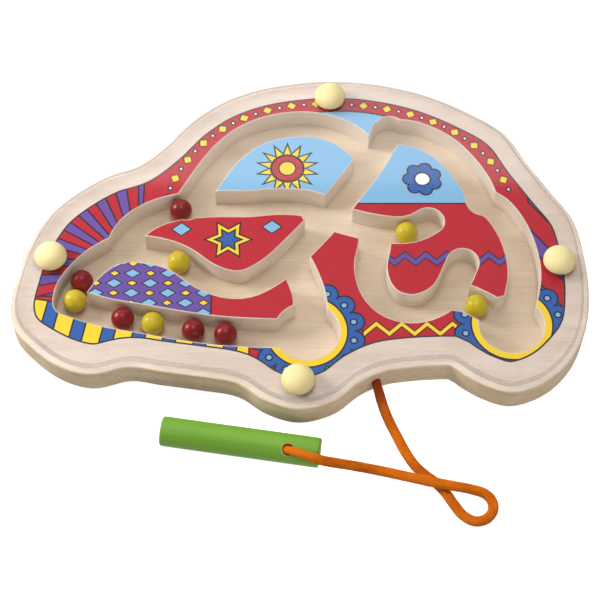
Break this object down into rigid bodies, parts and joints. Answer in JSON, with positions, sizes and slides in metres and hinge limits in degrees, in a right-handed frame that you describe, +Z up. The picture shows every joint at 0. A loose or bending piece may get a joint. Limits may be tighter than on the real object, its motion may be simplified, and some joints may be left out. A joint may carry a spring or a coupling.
{
  "type": "magnetic maze board",
  "caption": "Flat wooden maze toy in a car outline: painted balls run in channels under a clear capped cover and are drawn along by a magnetic wand tied on by a cord.",
  "frame": {"origin": "middle of the board's underside, on the surface that it lies on", "axes": "+X along the car from its nose to its tail, +Y from its wheels to its roof, +Z up out of the board's printed face"},
  "size_m": [0.3, 0.2635, 0.0263],
  "materials": {
    "bare_wood": "fine-grained pale board, sanded; bare at the walls and margins, printed on top",
    "clear_sheet": "clear polished sheet with a slightly frosted cut edge",
    "screw_steel": "zinc-plated",
    "cap_yellow": "pale yellow, smooth and matte",
    "ball_red": "red enamel, semi-gloss",
    "ball_yellow": "yellow enamel, semi-gloss",
    "wand_green": "green paint on a turned dowel, satin",
    "magnet": "plain dark grey",
    "cord_orange": "soft tubular braid"
  },
  "bodies": {
    "board": {"base_board": "bare_wood", "maze_frame": "bare_wood", "windscreen_island": "bare_wood", "bonnet_island": "bare_wood", "grille_island": "bare_wood", "door_island": "bare_wood", "clear_cover": "clear_sheet", "screw_back": "screw_steel", "screw_left": "screw_steel", "screw_right": "screw_steel", "screw_front": "screw_steel", "cap_back": "cap_yellow", "cap_left": "cap_yellow", "cap_right": "cap_yellow", "cap_front": "cap_yellow", "cord": "cord_orange"},
    "wand": {"wand_body": "wand_green", "wand_magnet": "magnet", "wand_magnet_plug": "wand_green"},
    "red_fender_ball": {"ball_red_fender": "ball_red"},
    "red_nose_ball": {"ball_red_nose": "ball_red"},
    "red_bumper_left_ball": {"ball_red_bumper_left": "ball_red"},
    "red_bumper_middle_ball": {"ball_red_bumper_middle": "ball_red"},
    "red_bumper_right_ball": {"ball_red_bumper_right": "ball_red"},
    "yellow_nose_ball": {"ball_yellow_nose": "ball_yellow"},
    "yellow_middle_ball": {"ball_yellow_middle": "ball_yellow"},
    "yellow_bumper_ball": {"ball_yellow_bumper": "ball_yellow"},
    "yellow_dead_end_ball": {"ball_yellow_dead_end": "ball_yellow"},
    "yellow_rear_wheel_ball": {"ball_yellow_rear_wheel": "ball_yellow"}
  },
  "joints": [
    {"name": "wand_swing", "type": "hinge", "parent": "board", "child": "wand", "pos_m": [-0.0061, -0.125, 0.0139], "axis": [0, 0, 1], "range_deg": [0, 60]},
    {"name": "red_fender_run", "type": "slide", "parent": "board", "child": "red_fender_ball", "axis": [1, 0, 0], "range_m": [0, 0.069]},
    {"name": "red_nose_run", "type": "slide", "parent": "board", "child": "red_nose_ball", "axis": [0.7431, 0.6691, 0], "range_m": [0, 0.0345]},
    {"name": "red_bumper_left_run", "type": "slide", "parent": "board", "child": "red_bumper_left_ball", "axis": [0.9903, -0.1392, 0], "range_m": [-0.016, 0.003]},
    {"name": "red_bumper_middle_run", "type": "slide", "parent": "board", "child": "red_bumper_middle_ball", "axis": [0.9877, -0.1564, 0], "range_m": [-0.0085, 0.004]},
    {"name": "red_bumper_right_run", "type": "slide", "parent": "board", "child": "red_bumper_right_ball", "axis": [0.9945, -0.1045, 0], "range_m": [-0.004, 0.051]},
    {"name": "yellow_nose_run", "type": "slide", "parent": "board", "child": "yellow_nose_ball", "axis": [0.6157, -0.788, 0], "range_m": [0, 0.0115]},
    {"name": "yellow_middle_run", "type": "hinge", "parent": "board", "child": "yellow_middle_ball", "pos_m": [-0.0843, -0.0478, 0.0096], "axis": [0, 0, 1], "range_deg": [-29, 20]},
    {"name": "yellow_bumper_run", "type": "slide", "parent": "board", "child": "yellow_bumper_ball", "axis": [0.9744, -0.225, 0], "range_m": [-0.003, 0.0085]},
    {"name": "yellow_dead_end_run", "type": "hinge", "parent": "board", "child": "yellow_dead_end_ball", "pos_m": [0.0463, 0.0644, 0.0096], "axis": [0, 0, 1], "range_deg": [-38, 11.5]},
    {"name": "yellow_rear_wheel_run", "type": "slide", "parent": "board", "child": "yellow_rear_wheel_ball", "axis": [0.766, -0.6428, 0], "range_m": [0, 0.032]}
  ]
}
